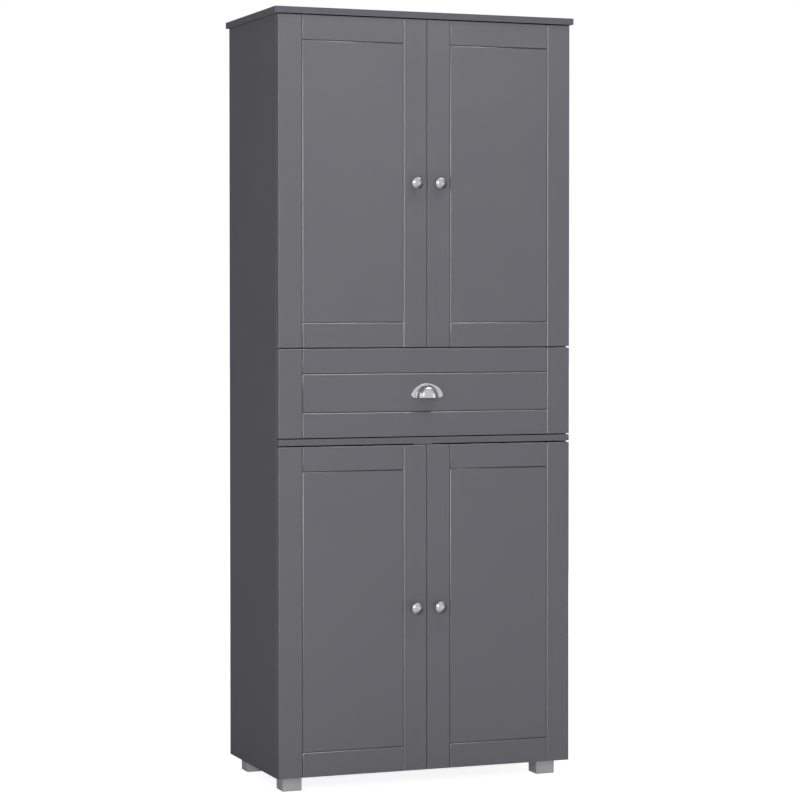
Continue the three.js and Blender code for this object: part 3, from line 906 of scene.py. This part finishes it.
def make_link(name, side, arm_node):
    """The pair of links between a hinge arm's tip and its cup."""
    wall, tip, middle = against_side(arm_node, side)
    bm = bmesh.new()
    ends = (wall - side * 9 * MM, wall + side * 5.5 * MM)
    for z in (-2.6 * MM, 2.6 * MM):
        outline = slab_outline((min(ends), tip - 1.9 * MM), (max(ends), tip + 1.5 * MM), 1.5 * MM)
        prism(bm, outline, middle + z - 0.7 * MM, middle + z + 0.7 * MM, "z")
    piece = bevel(from_bmesh(name, bm, PRESSED_STEEL), 0.25 * MM)
    start = (wall - side * 6.5 * MM, tip, middle)
    end = (wall + side * 3.5 * MM, tip, middle)
    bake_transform(piece)


MAGNET_X = 11.5 * MM  # each magnet and its strike plate, from the middle
PAD_PLACES = (30 * MM, 330 * MM)  # a door's bumpers, from the middle
PAD_HEIGHT = {"upper": 3.2 * MM, "lower": 7 * MM}  # over the lower edge of the door


def make_strike(level, side, back, top):
    """The plate that a magnet of the catch holds; returns the place of its screw."""
    x = SIDES[side] * MAGNET_X
    z = top - 4 * MM
    bm = bmesh.new()
    outline = slab_outline((x - 7.5 * MM, z - 6 * MM), (x + 7.5 * MM, z + 3.5 * MM), 1.5 * MM)
    prism(bm, outline, back, back + 1.0 * MM, "y")
    strike = bevel(from_bmesh(f"strike_plate_{level}_{side}", bm, ZINC_STEEL), 0.3 * MM)
    hand_over(strike, f"{level}_{side}_door", "hinge_steel")
    return ((x, back + 0.9 * MM, z - 1.2 * MM), IN)


def make_bumpers(level, side, back, bottom):
    """Two soft pads on a door's back, near its lower edge."""
    dome = [(0, 0), (2.9, 0), *arc((0, -0.6), 3.0, 20, 68, 5)]
    profile = from_mm([*((r, min(h, 1.7)) for r, h in dome), (0, 1.75)])
    pads = []
    for x in PAD_PLACES:
        place = (SIDES[side] * x, back, bottom + PAD_HEIGHT[level])
        pads.append(turned("pad", profile, place, IN, CLEAR_BUMPER, 20))
    bumpers = joined(f"door_bumpers_{level}_{side}", *pads)
    hand_over(bumpers, f"{level}_{side}_door", "catch_plastic")


def make_door_hardware(level, side):
    """The hinges of one door, and every screw, strike and bumper on its back."""
    sign = SIDES[side]
    body = f"{level}_{side}_door"
    arm_screws, door_screws = [], []
    for end in ENDS:
        arm_node = f"hinge_arm_{level}_{side}_{end}"
        arm_screws += make_hinge_arm(arm_node, sign)
        door_screws += make_hinge_cup(f"hinge_cup_{level}_{side}_{end}", sign)
        make_link(f"hinge_link_{level}_{side}_{end}", sign, arm_node)
    name = f"hinge_arm_screws_{level}_{side}"
    set_heads(name, "carcass", "hinge_steel", SCREW_TREE, SMALL_SCREW, arm_screws)

    door_low, door_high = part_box(f"door_{level}_{side}")
    back = door_high.y
    knob_low, knob_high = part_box(f"knob_{level}_{side}")
    knob_middle = (knob_low + knob_high) / 2
    door_screws.append(((knob_middle.x, back, knob_middle.z), IN))
    door_screws.append(make_strike(level, side, back, door_high.z))
    name = f"door_screws_{level}_{side}"
    set_heads(name, body, "hinge_steel", SCREW_TREE, SMALL_SCREW, door_screws)
    make_bumpers(level, side, back, door_low.z)


for level in LEVELS:
    for side in SIDES:
        make_door_hardware(level, side)


# ---- catches, bracket, shelf pins and runners ------------------------


def make_catch(node):
    """A double magnetic catch: a moulded case, a magnet for each door, and a screw."""
    low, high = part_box(node)
    bm = bmesh.new()
    box_into(bm, low + Vector((0, 1.2 * MM, 0)), high)
    case = bevel(from_bmesh("case", bm, CATCH_PLASTIC), 1.4 * MM, 3)
    magnets = bmesh.new()
    for side in SIDES.values():
        x, half = side * MAGNET_X, 7 * MM
        for z in (low.z + 3.2 * MM, low.z + 7.4 * MM):
            near = (x - half, low.y, z - 0.8 * MM)
            far = (x + half, low.y + 8 * MM, z + 0.8 * MM)
            box_into(magnets, near, far)
    magnets = bevel(from_bmesh("magnets", magnets, MAGNET_BLACK), 0.2 * MM)
    stand_in(joined(f"{node}_moulded", case, magnets), node)
    return [((0, low.y + 9 * MM, low.z), DOWN)]


carcass_screws = make_catch("upper_door_catch") + make_catch("lower_door_catch")

softened("wall_bracket", PRESSED_STEEL, 0.6 * MM)
bracket_low, bracket_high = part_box("wall_bracket")
sheet = 2 * MM
for x in (-8 * MM, 8 * MM):
    carcass_screws.append(((x, bracket_high.y - sheet, bracket_low.z + 10 * MM), OUT))
    carcass_screws.append(((x, bracket_low.y + 12 * MM, bracket_high.z - sheet), DOWN))
set_heads("carcass_screws", "carcass", "hinge_steel", SCREW_TREE, SCREW, carcass_screws)

for level in LEVELS:
    for end in ("front", "back"):
        for side in SIDES:
            softened(f"shelf_pin_{level}_{end}_{side}", PIN_PLASTIC, 0.3 * MM)


def ball_tree():
    """A node tree for a row of steel balls along y, from each starting point."""
    inputs = {"Start": "Geometry", "Count": "Int", "Spacing": "Float", "Radius": "Float"}
    tree = start_tree("ball_row", inputs, "Balls")
    given = add_node(tree, "NodeGroupInput").outputs
    step = add_node(tree, "ShaderNodeCombineXYZ", None, {1: given["Spacing"]})
    links = {"Count": given["Count"], "Offset": step.outputs[0]}
    row = add_node(tree, "GeometryNodeMeshLine", None, links)
    links = {"Points": given["Start"], "Instance": row.outputs["Mesh"]}
    rows = add_node(tree, "GeometryNodeInstanceOnPoints", None, links)
    places = add_node(tree, "GeometryNodeRealizeInstances", None, {0: rows.outputs[0]})
    links = {"Segments": 16, "Rings": 8, "Radius": given["Radius"]}
    ball = add_node(tree, "GeometryNodeMeshUVSphere", None, links)
    smooth = add_node(tree, "GeometryNodeSetShadeSmooth", None, {"Geometry": ball.outputs["Mesh"]})
    links = {"Points": places.outputs[0], "Instance": smooth.outputs[0]}
    balls = add_node(tree, "GeometryNodeInstanceOnPoints", None, links)
    finish_tree(tree, balls, PRESSED_STEEL)
    return tree


BALL_TREE = ball_tree()


def make_ball_cage(side):
    """The retainer and the balls between the two halves of a runner."""
    sign = SIDES[side]
    wall, front, middle = against_side(f"cabinet_runner_{side}", sign)
    start, length, half_sheet = front + 12 * MM, 96 * MM, 0.35 * MM
    tracks = (middle - 17.5 * MM, middle + 17.5 * MM)
    bm = bmesh.new()
    near, far = sorted((wall - sign * 1.9 * MM, wall - sign * 2.6 * MM))
    box_into(bm, (near, start, middle - 18 * MM), (far, start + length, middle + 18 * MM))
    near, far = sorted((wall - sign * 2.2 * MM, wall - sign * 8.6 * MM))
    for z in tracks:
        box_into(bm, (near, start, z - half_sheet), (far, start + length, z + half_sheet))
    cage = bevel(from_bmesh("cage", bm, ZINC_STEEL), 0.15 * MM, 1)
    mesh = bpy.data.meshes.new("balls")
    x = wall - sign * 5.7 * MM
    mesh.from_pydata([(x, start + 6 * MM, z) for z in tracks], [], [])
    sizes = {"Count": 8, "Spacing": 12 * MM, "Radius": 3.2 * MM}
    balls = run_tree(put("balls", mesh), BALL_TREE, sizes)
    hand_over(joined(f"ball_cage_{side}", cage, balls), "carcass", "runner_steel")


for side, sign in SIDES.items():
    for body in ("cabinet", "drawer"):
        softened(f"{body}_runner_{side}", ZINC_STEEL, 0.35 * MM)
    make_ball_cage(side)


# ---- drawer fixings, cam caps and back nails -------------------------

FIXING_INSET = 18 * MM  # a drawer side's screws and caps, from its upper and lower edges
PULL_SCREWS = (35 * MM, 12 * MM)  # from the drawer's middle, and over the pull's lower edge
CAM_CAP_X = 322 * MM
CAM_CAP_ROWS = (-110 * MM, 145 * MM)
CAM_CAP_BOARDS = {"top_board": DOWN, "bottom_board": UP, "divider_shelf": DOWN, "drawer_deck": UP}

drawer_screws = []
drawer_caps = []
pull_x, pull_z = PULL_SCREWS
pull_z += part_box("cup_pull")[0].z
front_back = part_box("drawer_front")[1].y
for side, sign in SIDES.items():
    low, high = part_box(f"drawer_side_{side}")
    outer, inner = (high.x, low.x) if sign > 0 else (low.x, high.x)
    for z in (low.z + FIXING_INSET, high.z - FIXING_INSET):
        drawer_screws.append(((outer, high.y - 6 * MM, z), (sign, 0, 0)))
        drawer_caps.append(((inner, low.y + 26 * MM, z), (-sign, 0, 0)))
    runner_low, runner_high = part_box(f"drawer_runner_{side}")
    runner_face = outer + sign * 1.5 * MM
    runner_middle = (runner_low.z + runner_high.z) / 2
    for along in (24, 150, 300):
        place = (runner_face, runner_low.y + along * MM, runner_middle)
        drawer_screws.append((place, (sign, 0, 0)))
    drawer_screws.append(((sign * pull_x, front_back, pull_z), IN))
set_heads("drawer_screws", "drawer", "runner_steel", SCREW_TREE, SMALL_SCREW, drawer_screws)
set_heads("drawer_cam_caps", "drawer", "painted_board", CAP_TREE, CAP, drawer_caps)

cap_spots = []
for sign in SIDES.values():
    for y in CAM_CAP_ROWS:
        for node, facing in CAM_CAP_BOARDS.items():
            low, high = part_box(node)
            z = low.z if facing == DOWN else high.z
            cap_spots.append(((sign * CAM_CAP_X, y, z), facing))
set_heads("cam_caps", "carcass", "painted_board", CAP_TREE, CAP, cap_spots)


def nail_spots(node, spacing=95 * MM, inset=7 * MM):
    """Nails all round the edge of a back panel."""
    low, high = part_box(node)
    y = high.y - NAIL_HEAD
    spots = []
    columns = round((high.x - low.x) / spacing)
    rows = round((high.z - low.z) / spacing)
    for step in range(columns + 1):
        x = low.x + inset + (high.x - low.x - 2 * inset) * step / columns
        spots += [(x, y, low.z + inset), (x, y, high.z - inset)]
    for step in range(1, rows):
        z = low.z + inset + (high.z - low.z - 2 * inset) * step / rows
        spots += [(low.x + inset, y, z), (high.x - inset, y, z)]
    return [(spot, IN) for spot in spots]


back_nails = nail_spots("upper_back_panel") + nail_spots("lower_back_panel")
set_heads("back_nails", "carcass", "runner_steel", NAIL_TREE, NAIL, back_nails)


# ---- camera, light and floor -----------------------------------------

CAMERA_PLACE = (-2.2422, -5.8710, 1.1404)
CAMERA_TURN = 20.905  # degrees to the right of straight ahead
CAMERA_TILT = 1.35  # degrees down
CAMERA_LENS = 115.7
CAMERA_SHIFT = -0.04
SENSOR = 36
WORLD_COLOUR = (0.97, 0.965, 1.05, 1)
WORLD_SEEN = 1.05  # strength to the camera
WORLD_FILL = 0.145  # strength as light on the pieces
MIRROR_SLOPE = (-0.35, -0.6, 0.25)  # the way in which reflections grow brighter
MIRROR_SPAN = (-0.4, 0.35)  # where on that slope they go from dim to bright
MIRROR_DIM = 0.03
MIRROR_BRIGHT = 1.0
FLOOR_REACH = 40
FLOOR_SPAN = (1.2, 4.0)  # from the near look to the far one, in metres from the middle
FLOOR_NEAR = 0.87
FLOOR_FAR = 1.0
GLOW_SPAN = (0.2, 0.8)  # from no glow to all of it, in metres from the middle
FLOOR_GLOW = 0.42
STUDIO_MIDDLE = (0, 0, 0.95)
SOFT_BOXES = (  # name, place, size, power
    ("front_box", (-1.9, -4.5, 1.1), (2.2, 3.2), 115),
    ("back_box", (3.4, 3.2, 1.7), (2.2, 2.8), 60),
    ("top_box", (-0.2, -1.5, 4.2), (2.4, 1.6), 19),
)
FRONT_GLINTS = (  # seen only as a shine on the fronts
    ("left_glint", (-3.6, -2.3, 1.2), (1.6, 3.4), 430),
    ("top_glint", (1.1, -0.95, 4.2), (3.8, 1.4), 600),
)
HANDLE_GLINTS = (  # seen only as a shine on the knobs and the pull
    ("left_box", (-3.4, -2.4, 2.7), (0.9, 1.4), 24),
    ("right_box", (2.6, -2.6, 0.9), (1.6, 2.0), 9),
)


def set_camera():
    """The camera, a little above the middle and to the left, with a small lens shift."""
    data = bpy.data.cameras.new("camera")
    data.lens = CAMERA_LENS
    data.sensor_width = SENSOR
    data.shift_y = CAMERA_SHIFT
    camera = put("camera", data)
    camera.location = CAMERA_PLACE
    tilt, turn = math.radians(90 - CAMERA_TILT), math.radians(-CAMERA_TURN)
    camera.rotation_euler = (tilt, 0, turn)
    bpy.context.scene.camera = camera


def soft_light(name, place, size, power):
    """A rectangular soft box that faces the middle of the cabinet."""
    data = bpy.data.lights.new(name, "AREA")
    data.shape = "RECTANGLE"
    data.size, data.size_y = size
    data.energy = power
    lamp = put(name, data)
    lamp.location = place
    toward = Vector(STUDIO_MIDDLE) - Vector(place)
    lamp.rotation_euler = toward.to_track_quat("-Z", "Y").to_euler()
    return lamp


def set_world():
    """White to the eye; reflections find it bright in front, at the left and above."""
    world = bpy.data.worlds.new("studio")
    bpy.context.scene.world = world
    world.use_nodes = True
    tree = world.node_tree
    direction = add_node(tree, "ShaderNodeTexCoord").outputs["Generated"]
    links = {0: direction, 1: MIRROR_SLOPE}
    slope = add_node(tree, "ShaderNodeVectorMath", {"operation": "DOT_PRODUCT"}, links)
    span = {"From Min": MIRROR_SPAN[0], "From Max": MIRROR_SPAN[1]}
    span |= {"To Min": MIRROR_DIM, "To Max": MIRROR_BRIGHT}
    links = {"Value": slope.outputs["Value"], **span}
    mirrored = Signal(tree, add_node(tree, "ShaderNodeMapRange", None, links).outputs[0])
    path = add_node(tree, "ShaderNodeLightPath")
    seen = Signal(tree, path.outputs["Is Camera Ray"])
    glossy = Signal(tree, path.outputs["Is Glossy Ray"])
    light = glossy * mirrored + (1 - glossy) * WORLD_FILL
    background = tree.nodes["Background"]
    feed(tree, WORLD_COLOUR, background.inputs["Color"])
    feed(tree, seen * WORLD_SEEN + (1 - seen) * light, background.inputs["Strength"])


def set_floor():
    """A pale floor that runs into the white behind it, and glows a little away from the feet."""
    bm = bmesh.new()
    bmesh.ops.create_grid(bm, x_segments=1, y_segments=1, size=FLOOR_REACH)
    floor = from_bmesh("floor", bm)
    finish = Finish("pale_floor", roughness=0.8, Specular_IOR_Level=0.0)
    tone = finish.noise(finish.place(), 2.0, 2.0)
    finish.tint(tone, (0.88, 0.88, 0.88), (0.92, 0.92, 0.92))
    links = {0: finish.place()}
    away = finish.number("ShaderNodeVectorMath", {"operation": "LENGTH"}, links, "Value")

    def rising(span, start, end):
        given = {"From Min": span[0], "From Max": span[1], "To Min": start, "To Max": end}
        return finish.number("ShaderNodeMapRange", None, {"Value": away, **given})

    shown = rising(FLOOR_SPAN, FLOOR_NEAR, FLOOR_FAR)
    # no glow under the cabinet, rising away from it: a painted shadow of the cabinet in the light
    # that the floor throws
    glow = rising(GLOW_SPAN, 0.0, FLOOR_GLOW)
    seen = finish.number("ShaderNodeLightPath", output="Is Camera Ray")
    finish.set("Emission Color", seen * shown + (1 - seen) * glow)
    finish.set("Emission Strength", 1.0)
    floor.data.materials.append(finish.material)
    floor.visible_glossy = False


def group_of(name, pieces):
    """A collection of pieces, for a light that falls on them alone."""
    group = bpy.data.collections.new(name)
    for piece in pieces:
        group.objects.link(piece)
    return group


def set_glints(table, receivers):
    """Lights that show as a shine on some pieces and light nothing."""
    for row in table:
        lamp = soft_light(*row)
        lamp.visible_diffuse = False
        lamp.light_linking.receiver_collection = receivers


def set_studio():
    """The world, the floor and every light."""
    bpy.context.scene.view_settings.view_transform = "Standard"
    set_world()
    set_floor()
    for row in SOFT_BOXES:
        soft_light(*row).visible_glossy = False
    set_glints(FRONT_GLINTS, group_of("fronts", FRONTS))
    set_glints(HANDLE_GLINTS, group_of("handles", HANDLES))


set_camera()
set_studio()
